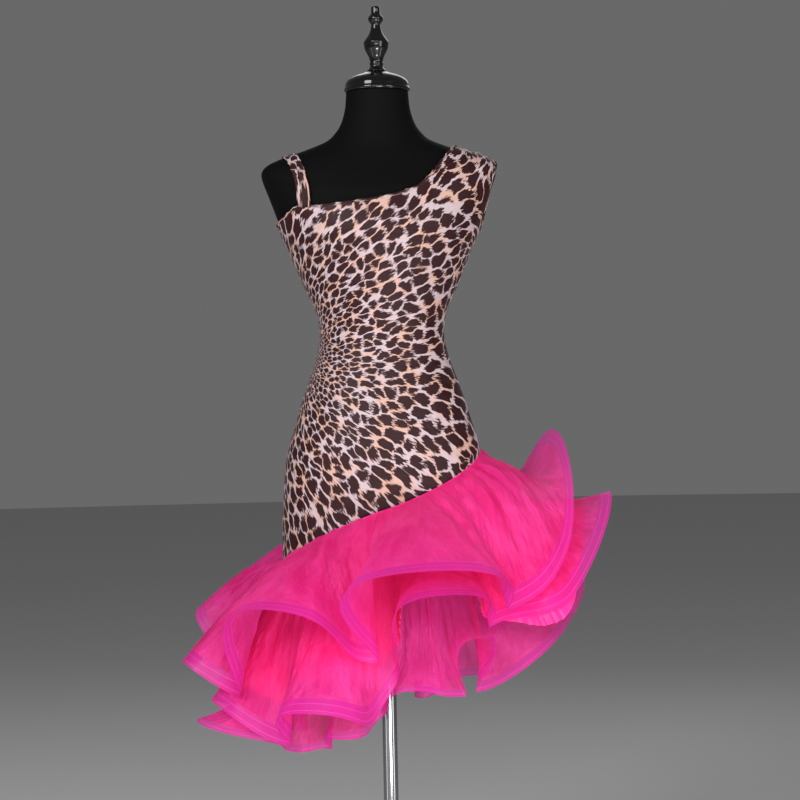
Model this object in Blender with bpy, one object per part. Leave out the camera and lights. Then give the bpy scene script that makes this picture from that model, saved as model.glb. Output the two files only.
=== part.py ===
"""Rumba dance dress on a limbless dress form with a finial, a chrome pole and a round base.

Metres, +Z up, the front of the garment faces -Y, the origin is at the middle of the base's underside.
A turn round the body is an angle: 0 at the front (-Y), 90 at +X, 180 at the back, -90 at -X.
"""
import math

import bmesh
import bpy
import numpy as np
from mathutils import Vector

# ---------------------------------------------------------------- driving sizes
CLOTH = 0.0012            # thickness of a cloth wall
SEAM_GAP = 0.0003         # between the edges of two pieces at a seam
CLEARANCE = 0.0026        # from the form to the inner face of the bodice
FLOUNCE_SEAT = CLEARANCE + CLOTH + SEAM_GAP + CLOTH / 2   # a flounce's mid-wall off the form

# Sections of the body, bottom to top. The lowest ones carry only the skirt base.
# columns: height, half width, depth to the front, depth to the back, squareness
BODY_SECTIONS = (
    (0.480, 0.182, 0.124, 0.132, 2.2),
    (0.540, 0.178, 0.120, 0.128, 2.2),
    (0.600, 0.174, 0.116, 0.124, 2.2),
    (0.655, 0.1725, 0.114, 0.122, 2.2),
    (0.720, 0.1720, 0.113, 0.122, 2.2),
    (0.800, 0.1665, 0.112, 0.122, 2.2),
    (0.840, 0.1610, 0.110, 0.119, 2.2),
    (0.880, 0.1490, 0.106, 0.113, 2.2),
    (0.921, 0.1368, 0.100, 0.104, 2.2),
    (0.962, 0.1230, 0.094, 0.094, 2.2),
    (1.003, 0.1085, 0.089, 0.084, 2.2),
    (1.044, 0.1021, 0.088, 0.081, 2.2),
    (1.084, 0.1100, 0.093, 0.083, 2.2),
    (1.125, 0.1285, 0.104, 0.087, 2.2),
    (1.166, 0.1450, 0.117, 0.092, 2.2),
    (1.220, 0.1685, 0.124, 0.098, 2.2),
    (1.275, 0.1890, 0.109, 0.102, 2.25),
    (1.302, 0.1990, 0.096, 0.100, 2.3),
    (1.318, 0.2005, 0.087, 0.094, 2.3),
    (1.331, 0.1900, 0.080, 0.087, 2.2),
    (1.343, 0.1640, 0.074, 0.081, 2.1),
    (1.356, 0.1250, 0.068, 0.076, 2.0),
    (1.370, 0.0900, 0.064, 0.070, 2.0),
    (1.384, 0.0740, 0.061, 0.066, 2.0),
    (1.400, 0.0640, 0.058, 0.062, 2.0),
    (1.424, 0.0570, 0.056, 0.057, 2.0),
    (1.452, 0.0545, 0.0545, 0.0545, 2.0),
)
FORM_FOOT_ROW = 3         # the row of the table where the solid form ends
FORM_SIDES = 36
FORM_UNDERSIZE = 0.0018   # the form's cover lies this far inside the body's surface

# The slanted seam between bodice and skirt: a straight cut from the low to the high side seam.
SEAM_MIDDLE = 0.7475
SEAM_RISE = 0.0945
SEAM_ROUNDING = 0.965     # 1 would leave sharp turns at the side seams

# Upper edge of each panel. columns: x, height
FRONT_NECKLINE = (
    (-0.1715, 1.2255), (-0.150, 1.2430), (-0.134, 1.2527), (-0.108, 1.2510), (-0.057, 1.2550),
    (0.003, 1.2625), (0.040, 1.2710), (0.071, 1.2850), (0.097, 1.3105), (0.119, 1.3400), (0.1315, 1.3540),
)
BACK_NECKLINE = (
    (-0.1715, 1.2255), (-0.150, 1.2230), (-0.120, 1.2200), (-0.080, 1.2160), (-0.030, 1.2150),
    (0.020, 1.2200), (0.060, 1.2400), (0.090, 1.2750), (0.110, 1.3100), (0.122, 1.3380), (0.1315, 1.3540),
)
ARMHOLE_FOOT = 1.2085     # height where the armhole meets the side seam
ARMHOLE_TOP = 1.3290      # height of the shoulder seam's outer end
ARMHOLE_BAY = 19.0        # degrees that the armhole cuts into each panel

LEVEL_BAND = (0.862, 1.192)   # heights between which the panels' rows of faces lie level
LEVEL_SHARES = (0.2, 0.7)     # of a panel's rows that lie below each of them

STRAP_WIDTH = 0.021
STRAP_FRONT_X = -0.1215
STRAP_RIDGE_X = -0.1530
STRAP_BACK_X = -0.1250
STRAP_SEAT = -0.0012      # from the body at the top of the shoulder, where it bears on the smaller form

BRAID_SHARE = 0.085       # of a flounce's length, about 24 mm
SKIRT_BASE_DROP = 0.115   # depth of the satin band below the slanted seam

# Each flounce: where it is sewn on below the seam, how late it folds, and one row for each crest and
# trough of its hem.
# hem columns: turn round the body, reach from the axis, height, swing before the bend and after it,
# climb along the hem, arch of the cloth above the straight line from seam to hem
UPPER_FLOUNCE = {
    "drop": 0.0012, "fold_power": 1.8,
    "hem": (
        (-80, 0.350, 0.498, 0.085, 0.085, 0.0, 0.02), (-63, 0.278, 0.445, 0.060, 0.060, 0.0, 0.03),
        (-36, 0.335, 0.600, 0.170, 0.180, 0.0, 0.03), (-5, 0.232, 0.508, 0.075, 0.045, 0.0, 0.03),
        (13, 0.365, 0.662, 0.310, 0.200, 0.0, 0.03), (39, 0.318, 0.590, 0.045, 0.055, 0.3, 0.03),
        (62, 0.335, 0.672, 0.085, 0.085, 0.9, 0.03), (104, 0.300, 0.872, 0.105, 0.105, 0.0, -0.05),
        (125, 0.245, 0.735, 0.035, 0.035, -0.2, 0.01), (143, 0.335, 0.775, 0.130, 0.130, 0.0, 0.03),
        (161, 0.240, 0.640, 0.060, 0.060, 0.0, 0.03), (180, 0.350, 0.705, 0.160, 0.160, 0.0, 0.03),
        (198, 0.245, 0.580, 0.060, 0.060, 0.0, 0.03), (217, 0.350, 0.640, 0.160, 0.160, 0.0, 0.03),
        (234, 0.245, 0.520, 0.055, 0.055, 0.0, 0.03), (250, 0.345, 0.575, 0.110, 0.110, 0.0, 0.03),
        (265, 0.270, 0.470, 0.040, 0.040, 0.0, 0.03),
    ),
}
MIDDLE_FLOUNCE = {
    "drop": 0.040, "fold_power": 1.7,
    "hem": (
        (-76, 0.305, 0.432, 0.070, 0.070, 0.0, 0.01), (-42, 0.245, 0.370, 0.060, 0.035, 0.0, 0.01),
        (-24, 0.304, 0.434, 0.130, 0.130, 0.0, 0.01), (3, 0.205, 0.465, 0.120, 0.060, 1.5, 0.01),
        (18, 0.320, 0.620, 0.165, 0.140, 0.0, 0.01), (37, 0.280, 0.562, 0.035, 0.060, 0.4, 0.01),
        (58, 0.363, 0.612, 0.080, 0.080, 0.6, 0.01), (91, 0.385, 0.762, 0.060, 0.060, 0.5, -0.01),
        (122, 0.225, 0.615, 0.035, 0.035, -0.2, 0.0), (143, 0.300, 0.640, 0.110, 0.110, 0.0, 0.01),
        (161, 0.205, 0.520, 0.050, 0.050, 0.0, 0.01), (180, 0.315, 0.570, 0.125, 0.125, 0.0, 0.01),
        (198, 0.210, 0.465, 0.050, 0.050, 0.0, 0.01), (217, 0.315, 0.510, 0.125, 0.125, 0.0, 0.01),
        (234, 0.210, 0.420, 0.045, 0.045, 0.0, 0.01), (250, 0.310, 0.450, 0.090, 0.090, 0.0, 0.01),
        (265, 0.235, 0.405, 0.035, 0.035, 0.0, 0.01),
    ),
}
LOWER_FLOUNCE = {
    "drop": 0.088, "fold_power": 1.8,
    "hem": (
        (-77, 0.330, 0.400, 0.055, 0.055, -0.2, -0.035), (-56, 0.225, 0.366, 0.050, 0.040, 0.0, -0.035),
        (-43, 0.228, 0.358, 0.040, 0.040, 0.0, -0.035), (-31, 0.195, 0.362, 0.030, 0.035, 0.0, -0.035),
        (-19, 0.245, 0.386, 0.060, 0.060, 0.0, -0.035), (-5, 0.155, 0.408, 0.035, 0.035, 0.8, -0.035),
        (10, 0.212, 0.458, 0.050, 0.050, 0.0, -0.035), (32, 0.232, 0.447, 0.060, 0.022, 0.0, -0.035),
        (31, 0.302, 0.550, 0.100, 0.070, 0.0, -0.050), (34.5, 0.254, 0.455, 0.022, 0.045, 0.0, -0.035),
        (63, 0.325, 0.546, 0.080, 0.080, 0.5, -0.035), (92, 0.335, 0.625, 0.070, 0.070, 0.3, -0.035),
        (122, 0.190, 0.500, 0.035, 0.035, -0.1, -0.035), (143, 0.265, 0.432, 0.080, 0.080, 0.0, -0.035),
        (161, 0.170, 0.400, 0.040, 0.040, 0.0, -0.035), (180, 0.270, 0.415, 0.090, 0.090, 0.0, -0.035),
        (198, 0.175, 0.390, 0.040, 0.040, 0.0, -0.035), (217, 0.275, 0.405, 0.090, 0.090, 0.0, -0.035),
        (234, 0.180, 0.355, 0.040, 0.040, 0.0, -0.035), (252, 0.285, 0.375, 0.070, 0.070, 0.0, -0.035),
        (266, 0.205, 0.355, 0.035, 0.035, 0.0, -0.035),
    ),
}
# The satin flounce lines the middle one: the same folds, shorter, and set in by a little.
SATIN_DROP = 0.058
SATIN_LENGTH = 0.80       # of the middle flounce
SATIN_LONGER = 0.27       # added where its hem shows under the middle one, on the high side of the front
SATIN_LONGEST_BEND, SATIN_LONG_BENDS = 5.6, 0.75
SATIN_SET_IN = 0.007

GORE_STARTS = {"upper": (1, 5, 8, 12), "middle": (1, 5, 8, 12), "lower": (1, 7, 12, 16)}
COLUMNS_PER_BEND = 6      # of wall faces from a crest to the next trough
FLOUNCE_ROWS = 3

POLE_RADIUS = 0.0125
BASE_RADIUS = 0.200
BASE_THICKNESS = 0.012
BOSS_RADIUS = 0.026
BOSS_TOP = 0.030
NECK_TOP = BODY_SECTIONS[-1][0]
CAP_TOP = 1.4860
TURNED_SIDES = 24

# Turned profiles of the neck cap and the finial. columns: radius, height
NECK_CAP = (
    (0.0, NECK_TOP + SEAM_GAP), (0.0545, NECK_TOP + SEAM_GAP), (0.0556, 1.4536), (0.0564, 1.4560),
    (0.0556, 1.4585), (0.0545, 1.4600), (0.0541, 1.4655), (0.0520, 1.4705), (0.0460, 1.4755),
    (0.0340, 1.4805), (0.0220, 1.4840), (0.0190, CAP_TOP), (0.0, CAP_TOP),
)
FINIAL = (
    (0.0, CAP_TOP + SEAM_GAP), (0.0165, CAP_TOP + SEAM_GAP), (0.0165, 1.4885), (0.0120, 1.4925),
    (0.0108, 1.4965), (0.0117, 1.4990), (0.0117, 1.5010), (0.0108, 1.5035), (0.0128, 1.5115),
    (0.0172, 1.5195), (0.0205, 1.5265), (0.0212, 1.5340), (0.0218, 1.5365), (0.0182, 1.5420),
    (0.0128, 1.5490), (0.0095, 1.5560), (0.0080, 1.5640), (0.0079, 1.5680), (0.0110, 1.5705),
    (0.0134, 1.5760), (0.0124, 1.5800), (0.0085, 1.5835), (0.0074, 1.5870), (0.0076, 1.5945),
    (0.0066, 1.5980), (0.0, 1.5985),
)

# ---------------------------------------------------------------- materials
# columns: base colour, roughness, metallic
FINISHES = {
    "leopard_satin": ((0.42, 0.28, 0.25, 1.0), 0.45, 0.0),
    "pink_organza": ((0.90, 0.05, 0.32, 1.0), 0.55, 0.0),
    "pink_satin": ((0.86, 0.06, 0.27, 1.0), 0.35, 0.0),
    "horsehair_braid": ((0.62, 0.05, 0.42, 1.0), 0.40, 0.0),
    "black_cover": ((0.010, 0.010, 0.012, 1.0), 0.80, 0.0),
    "black_gloss": ((0.008, 0.008, 0.009, 1.0), 0.15, 0.0),
    "chrome": ((0.80, 0.80, 0.82, 1.0), 0.12, 1.0),
}


def finish(name):
    """The material of one finish, made once."""
    if name in bpy.data.materials:
        return bpy.data.materials[name]
    colour, roughness, metallic = FINISHES[name]
    material = bpy.data.materials.new(name)
    material.use_nodes = True
    shader = material.node_tree.nodes["Principled BSDF"]
    shader.inputs["Base Color"].default_value = colour
    shader.inputs["Roughness"].default_value = roughness
    shader.inputs["Metallic"].default_value = metallic
    return material


def add_piece(name, shape, finish_name, crease=50.0):
    """Turn a bmesh into a named object with its finish."""
    mesh = bpy.data.meshes.new(name)
    shape.to_mesh(mesh)
    shape.free()
    mesh.shade_smooth()
    mesh.set_sharp_from_angle(angle=math.radians(crease))
    mesh.materials.append(finish(finish_name))
    piece = bpy.data.objects.new(name, mesh)
    bpy.context.scene.collection.objects.link(piece)
    return piece


# ---------------------------------------------------------------- the body's surface
SECTIONS = np.array(BODY_SECTIONS)


def section_at(row):
    """A section between the table's rows, on a smooth curve through them."""
    row = min(max(row, 0.0), len(SECTIONS) - 1.0)
    first = min(int(row), len(SECTIONS) - 2)
    share = row - first
    before, low, high, after = (
        SECTIONS[min(max(first + step, 0), len(SECTIONS) - 1)] for step in (-1, 0, 1, 2))
    low_slope = (high - before) / 2
    high_slope = (after - low) / 2
    return (low * (2 * share ** 3 - 3 * share ** 2 + 1) + low_slope * (share ** 3 - 2 * share ** 2 + share)
            + high * (3 * share ** 2 - 2 * share ** 3) + high_slope * (share ** 3 - share ** 2))


FINE_ROWS = np.linspace(0, len(SECTIONS) - 1, 2001)
FINE_HEIGHTS = [section_at(row)[0] for row in FINE_ROWS]


def row_at_height(height):
    """The row number, with its fraction, where the body has this height."""
    return float(np.interp(height, FINE_HEIGHTS, FINE_ROWS))


def row_at_half_width(half_width):
    """The row number on the shoulder, above the widest section, with this half width."""
    low, high = float(np.argmax(SECTIONS[:, 1])), len(SECTIONS) - 1.0
    for _ in range(26):
        middle = (low + high) / 2
        if section_at(middle)[1] > half_width:
            low = middle
        else:
            high = middle
    return (low + high) / 2


def signed_power(value, power):
    return math.copysign(abs(value) ** power, value)


def on_body(turn, row):
    """A point of the body's surface."""
    height, half_width, front, back, squareness = section_at(row)
    angle = math.radians(turn)
    depth = front if math.cos(angle) > 0 else back
    return Vector((half_width * signed_power(math.sin(angle), 2 / squareness),
                   -depth * signed_power(math.cos(angle), 2 / squareness), height))


def off_body(turn, row, distance):
    """A point at this distance outside the body."""
    step = 0.5
    along = on_body(turn + step, row) - on_body(turn - step, row)
    up = on_body(turn, row + 0.05) - on_body(turn, row - 0.05)
    return on_body(turn, row) + along.cross(up).normalized() * distance


def turn_at_x(x, row):
    """The turn, on the front half, where the surface has this x."""
    _, half_width, _, _, squareness = section_at(row)
    share = min(max(x / half_width, -1.0), 1.0)
    return math.degrees(math.asin(signed_power(share, squareness / 2)))


def seam_height(turn):
    """Height of the slanted seam between bodice and skirt."""
    rounded = math.asin(SEAM_ROUNDING * math.sin(math.radians(turn))) / math.asin(SEAM_ROUNDING)
    return SEAM_MIDDLE + SEAM_RISE * rounded


# ---------------------------------------------------------------- cloth walls
def cloth_wall(name, surface, across, along, columns, rows, finish_name, inner=-0.5):
    """A closed thin wall over part of a surface, trimmed by half a seam gap all round.

    surface maps two coordinates to a point, across and along are their ranges, and inner says where
    the wall's first face lies, in thicknesses from the surface.
    """
    shape = bmesh.new()
    bmesh.ops.create_grid(shape, x_segments=columns, y_segments=rows, size=0.5)
    copied = bmesh.ops.extrude_face_region(shape, geom=shape.faces[:])["geom"]
    outside = {vert for vert in copied if isinstance(vert, bmesh.types.BMVert)}
    tiny = 0.01
    for vert in shape.verts:
        share_across, share_along = vert.co.x + 0.5, vert.co.y + 0.5
        u = across[0] + (across[1] - across[0]) * share_across
        v = along[0] + (along[1] - along[0]) * share_along
        step_u, step_v = tiny * (across[1] - across[0]), tiny * (along[1] - along[0])
        point = surface(u, v)
        sideways = (surface(u + step_u, v) - surface(u - step_u, v)).normalized()
        lengthways = (surface(u, v + step_v) - surface(u, v - step_v)).normalized()
        normal = sideways.cross(lengthways).normalized()
        trim_side = (share_across < 1e-4) - (share_across > 1 - 1e-4)
        trim_length = (share_along < 1e-4) - (share_along > 1 - 1e-4)
        trim = lengthways.cross(normal) * trim_side + normal.cross(sideways) * trim_length
        level = (inner + (vert in outside)) * CLOTH
        vert.co = point + trim * (SEAM_GAP / 2) + normal * level
    # Twisted faces on the two sides of a seam are split the same way, so that they stay apart.
    bmesh.ops.triangulate(shape, faces=shape.faces[:], quad_method="SHORT_EDGE")
    return add_piece(name, shape, finish_name)


# ---------------------------------------------------------------- bodice
def smooth_through(table, x):
    """Value on a smooth curve through the table's rows of (x, value)."""
    xs, values = np.array(table).T
    slopes = np.gradient(values, xs)
    place = int(np.clip(np.searchsorted(xs, x) - 1, 0, len(xs) - 2))
    width = xs[place + 1] - xs[place]
    share = min(max((x - xs[place]) / width, 0.0), 1.0)
    return (values[place] * (2 * share ** 3 - 3 * share ** 2 + 1)
            + slopes[place] * width * (share ** 3 - 2 * share ** 2 + share)
            + values[place + 1] * (3 * share ** 2 - 2 * share ** 3)
            + slopes[place + 1] * width * (share ** 3 - share ** 2))


def neckline_rows(table):
    """The neckline as two lists: turns from side seam to shoulder, and row numbers of the body."""
    turns, rows = [], []
    first, last = table[0][0], table[-1][0]
    for step in range(61):
        x = first + (last - first) * step / 60
        row = row_at_height(smooth_through(table, x))
        turns.append(turn_at_x(x, row))
        rows.append(row)
    turns[0], turns[-1] = -90.0, 90.0
    rows[-1] = row_at_half_width(last)
    return turns, rows


ARMHOLE_ROWS = (row_at_height(ARMHOLE_FOOT), row_at_height(ARMHOLE_TOP))
LEVEL_ROWS = (row_at_height(LEVEL_BAND[0]), row_at_height(LEVEL_BAND[1]))


def panel_surface(neckline, facing):
    """The surface of a panel: u from one side seam to the other, v from slanted seam to neckline."""
    turns, rows = neckline_rows(neckline)

    def point(u, v):
        nominal = -90.0 + 180.0 * u
        foot = row_at_height(seam_height(nominal))
        row = np.interp(v, (0.0, *LEVEL_SHARES, 1.0), (foot, *LEVEL_ROWS, np.interp(nominal, turns, rows)))
        share = (row - ARMHOLE_ROWS[0]) / (ARMHOLE_ROWS[1] - ARMHOLE_ROWS[0])
        bay = ARMHOLE_BAY * math.sin(math.pi * min(max(share, 0.0), 1.0)) ** 0.75
        beside = min(max((u - 0.6) / 0.4, 0.0), 1.0)
        turn = nominal - bay * beside * beside * (3 - 2 * beside)
        return off_body(turn if facing == "front" else 180.0 - turn, row, CLEARANCE)

    return point


def strap_surface(u, v):
    """Over the shoulder: u across the strap, v from the front neckline to the back one."""
    across = (u - 0.5) * STRAP_WIDTH
    ridge_x = STRAP_RIDGE_X + across
    ridge_row = row_at_half_width(-ridge_x)
    run = 2.0 * v - 1.0
    end_x, neckline = (STRAP_FRONT_X, FRONT_NECKLINE) if run < 0 else (STRAP_BACK_X, BACK_NECKLINE)
    foot_row = row_at_height(smooth_through(neckline, end_x + across) + CLOTH)
    row = ridge_row - (ridge_row - foot_row) * run ** 2
    x = ridge_x + (end_x - STRAP_RIDGE_X) * abs(run) ** 1.5
    turn = turn_at_x(x, row)
    seat = STRAP_SEAT + (CLEARANCE - STRAP_SEAT) * run ** 2
    return off_body(turn if run < 0 else 180.0 - turn, row, seat)


def make_bodice():
    cloth_wall("front_panel", panel_surface(FRONT_NECKLINE, "front"), (0, 1), (0, 1), 18, 20,
               "leopard_satin", inner=0)
    back = panel_surface(BACK_NECKLINE, "back")
    cloth_wall("back_panel", lambda u, v: back(1 - u, v), (0, 1), (0, 1), 18, 20,
               "leopard_satin", inner=0)
    cloth_wall("shoulder_strap", strap_surface, (0, 1), (0, 1), 2, 16, "leopard_satin", inner=0)


# ---------------------------------------------------------------- skirt
def skirt_base_surface(u, v):
    """The satin band below the slanted seam: u is the turn, v goes up to the seam."""
    return off_body(u, row_at_height(seam_height(u) - SKIRT_BASE_DROP * (1 - v)), CLEARANCE)


def make_skirt_base():
    for side, turns in (("front", (-90.0, 90.0)), ("back", (90.0, 270.0))):
        cloth_wall("skirt_base_" + side, skirt_base_surface, turns, (0, 1), 18, 3, "pink_satin", inner=0)


class Flounce:
    """A circular flounce: its sewn line, its hem, and the cloth between them.

    u counts the rows of the hem table, crest and trough alternating, and runs round the body.
    v is 0 at the sewn line and 1 at the hem.
    """

    def __init__(self, table):
        self.table = table
        self.bends = len(table["hem"])
        fine = np.arange(0, self.bends, 0.1)
        hem = np.array([self.hem(u) for u in fine])
        turns = np.unwrap(np.arctan2(hem[:, 0], -hem[:, 1]))
        lap = 2 * math.pi
        drift = turns - fine * lap / self.bends
        # The folds are averaged away over about two of them, which leaves the flounce's mean flare.
        width = 32
        weights = np.hanning(2 * width + 1)
        weights /= weights.sum()

        def averaged(values):
            return np.convolve(np.concatenate((values[-width:], values, values[:width])), weights, "valid")

        self.fine = fine
        self.mean_turn = averaged(drift)
        self.mean_reach = averaged(np.hypot(hem[:, 0], hem[:, 1]))
        self.mean_height = averaged(hem[:, 2])

    def bend(self, index):
        """Place of one crest or trough of the hem, and how the hem's curve arrives and leaves there."""
        turn, reach, height, before, after, climb, _ = self.table["hem"][index % self.bends]
        angle = math.radians(turn)
        place = Vector((reach * math.sin(angle), -reach * math.cos(angle), height))
        heading = Vector((math.cos(angle), math.sin(angle), climb)).normalized()
        return place, heading * before, heading * after

    def hem(self, u):
        """A point of the hem, on a cubic curve from bend to bend."""
        first = math.floor(u)
        share = u - first
        start, _, leave = self.bend(first)
        end, arrive, _ = self.bend(first + 1)
        rest = 1 - share
        return (start * rest ** 3 + (start + leave) * (3 * rest ** 2 * share)
                + (end - arrive) * (3 * rest * share ** 2) + end * share ** 3)

    def arch(self, u):
        """Height of the cloth's arch, eased from bend to bend."""
        share = u - math.floor(u)
        start, end = (self.table["hem"][(math.floor(u) + step) % self.bends][6] for step in (0, 1))
        return start + (end - start) * (3 * share ** 2 - 2 * share ** 3)

    def mean(self, values, u):
        return float(np.interp(u % self.bends, self.fine, values, period=self.bends))

    def turn(self, u):
        """The mean turn round the body, in degrees."""
        return math.degrees(self.mean(self.mean_turn, u) + 2 * math.pi * u / self.bends)

    def mean_hem(self, u):
        angle = math.radians(self.turn(u))
        reach = self.mean(self.mean_reach, u)
        return Vector((reach * math.sin(angle), -reach * math.cos(angle), self.mean(self.mean_height, u)))

    def cloth(self, u, v):
        """A point of the cloth."""
        turn = self.turn(u)
        sewn = off_body(turn, row_at_height(seam_height(turn) - self.table["drop"]), FLOUNCE_SEAT)
        flare = self.mean_hem(u)
        fold = self.hem(u) - flare
        arch = Vector((0, 0, self.arch(u) * math.sin(math.pi * min(max(v, 0.0), 1.0))))
        return sewn.lerp(flare, v) + arch + fold * max(v, 0.0) ** self.table["fold_power"]


def make_flounce(name, flounce, starts):
    """The gores of one flounce and the braid along each gore's hem."""
    ends = starts[1:] + (starts[0] + flounce.bends,)
    for number, (start, end) in enumerate(zip(starts, ends), start=1):
        columns = (end - start) * COLUMNS_PER_BEND
        cloth_wall(f"{name}_flounce_{number}", flounce.cloth, (start, end), (0, 1 - BRAID_SHARE),
                   columns, FLOUNCE_ROWS, "pink_organza")
        cloth_wall(f"{name}_braid_{number}", flounce.cloth, (start, end), (1 - BRAID_SHARE, 1),
                   columns, 1, "horsehair_braid")


def make_satin_flounce(middle):
    """Lines the middle flounce, from its own sewn line to a shorter hem."""
    def cloth(u, v):
        turn = middle.turn(u)
        sewn = off_body(turn, row_at_height(seam_height(turn) - SATIN_DROP), FLOUNCE_SEAT)
        longer = SATIN_LONGER * math.exp(-((u - SATIN_LONGEST_BEND) / SATIN_LONG_BENDS) ** 2)
        place = v * (SATIN_LENGTH + longer)
        cover = middle.cloth(u, place)
        sideways = middle.cloth(u + 0.05, place) - middle.cloth(u - 0.05, place)
        lengthways = middle.cloth(u, place + 0.02) - middle.cloth(u, place - 0.02)
        inward = sideways.cross(lengthways).normalized()
        return cover + inward * SATIN_SET_IN * v + (sewn - middle.cloth(u, 0.0)) * (1 - v) ** 2

    starts = GORE_STARTS["middle"]
    ends = starts[1:] + (starts[0] + middle.bends,)
    for number, (start, end) in enumerate(zip(starts, ends), start=1):
        cloth_wall(f"satin_flounce_{number}", cloth, (start, end), (0, 1),
                   (end - start) * (COLUMNS_PER_BEND - 1), FLOUNCE_ROWS, "pink_satin")


def make_skirt():
    make_skirt_base()
    middle = Flounce(MIDDLE_FLOUNCE)
    make_flounce("upper", Flounce(UPPER_FLOUNCE), GORE_STARTS["upper"])
    make_flounce("middle", middle, GORE_STARTS["middle"])
    make_satin_flounce(middle)
    make_flounce("lower", Flounce(LOWER_FLOUNCE), GORE_STARTS["lower"])


# ---------------------------------------------------------------- form and stand
def make_form():
    """The solid torso, ring by ring from its flat foot to the neck."""
    shape = bmesh.new()
    rings = []
    for row in range(FORM_FOOT_ROW, len(BODY_SECTIONS)):
        ring = bmesh.ops.create_circle(shape, segments=FORM_SIDES, radius=1.0)["verts"]
        for number, vert in enumerate(ring):
            vert.co = off_body(360.0 * number / FORM_SIDES, row, -FORM_UNDERSIZE)
        rings.append(ring)
    for low, high in zip(rings, rings[1:]):
        for number in range(FORM_SIDES):
            after = (number + 1) % FORM_SIDES
            shape.faces.new((low[number], low[after], high[after], high[number]))
    shape.faces.new(rings[0])
    shape.faces.new(rings[-1])
    bmesh.ops.recalc_face_normals(shape, faces=shape.faces)
    return add_piece("form_torso", shape, "black_cover")


def turned(name, profile, finish_name, crease=50.0):
    """A piece turned on the axis from its (radius, height) profile."""
    shape = bmesh.new()
    verts = [shape.verts.new((radius, 0, height)) for radius, height in profile]
    edges = [shape.edges.new(pair) for pair in zip(verts, verts[1:])]
    bmesh.ops.spin(shape, geom=verts + edges, axis=(0, 0, 1), cent=(0, 0, 0), angle=math.tau,
                   steps=TURNED_SIDES, use_merge=True)
    bmesh.ops.remove_doubles(shape, verts=shape.verts, dist=1e-6)
    bmesh.ops.recalc_face_normals(shape, faces=shape.faces)
    return add_piece(name, shape, finish_name, crease)


def make_stand():
    turned("neck_cap", NECK_CAP, "black_gloss")
    turned("neck_finial", FINIAL, "black_gloss")
    form_foot = BODY_SECTIONS[FORM_FOOT_ROW][0]
    pole_top = form_foot - SEAM_GAP
    turned("stand_pole", ((0.0, BOSS_TOP + SEAM_GAP), (POLE_RADIUS, BOSS_TOP + SEAM_GAP),
                          (POLE_RADIUS, pole_top), (0.0, pole_top)), "chrome")
    collar_bore = POLE_RADIUS + SEAM_GAP
    turned("stand_collar", ((collar_bore, pole_top - 0.040), (0.024, pole_top - 0.040),
                            (0.027, pole_top - 0.036), (0.027, pole_top - 0.004), (0.030, pole_top),
                            (collar_bore, pole_top), (collar_bore, pole_top - 0.040)), "black_gloss")
    turned("stand_base", ((0.0, 0.0), (BASE_RADIUS - 0.003, 0.0), (BASE_RADIUS, 0.003),
                          (BASE_RADIUS, BASE_THICKNESS - 0.004), (BASE_RADIUS - 0.005, BASE_THICKNESS),
                          (0.060, BASE_THICKNESS + 0.003), (BOSS_RADIUS + 0.006, BASE_THICKNESS + 0.006),
                          (BOSS_RADIUS, BASE_THICKNESS + 0.012), (BOSS_RADIUS - 0.004, BOSS_TOP),
                          (0.0, BOSS_TOP)), "chrome")


for old in list(bpy.data.objects):
    bpy.data.objects.remove(old)
make_form()
make_stand()
make_bodice()
make_skirt()
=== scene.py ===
"""Rumba dance dress on a limbless dress form with a finial, a chrome pole and a round base.

Metres, +Z up, the front of the garment faces -Y. A turn round the body is an angle in degrees:
0 at the front (-Y), 90 at +X, 180 at the back, -90 at -X.
"""
import math

import bmesh
import bpy
import numpy as np
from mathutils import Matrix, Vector


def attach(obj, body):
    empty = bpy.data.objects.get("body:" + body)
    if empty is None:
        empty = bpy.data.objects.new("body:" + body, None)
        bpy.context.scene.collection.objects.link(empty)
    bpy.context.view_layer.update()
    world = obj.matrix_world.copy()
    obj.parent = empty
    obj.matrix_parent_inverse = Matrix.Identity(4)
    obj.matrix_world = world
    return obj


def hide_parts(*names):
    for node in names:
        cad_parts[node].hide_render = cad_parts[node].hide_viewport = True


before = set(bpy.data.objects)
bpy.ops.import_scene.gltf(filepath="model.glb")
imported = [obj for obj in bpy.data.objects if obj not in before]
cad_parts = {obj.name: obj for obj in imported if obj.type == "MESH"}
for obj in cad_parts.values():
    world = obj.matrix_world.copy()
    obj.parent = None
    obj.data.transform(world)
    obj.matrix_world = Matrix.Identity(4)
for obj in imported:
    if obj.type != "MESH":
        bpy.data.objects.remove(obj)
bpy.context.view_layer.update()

# ================================================================ torso of the dress form
# A papier-mache torso with a smooth stretch cover in matte black jersey, pulled over the neck and
# pinned under the flat foot.

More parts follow.
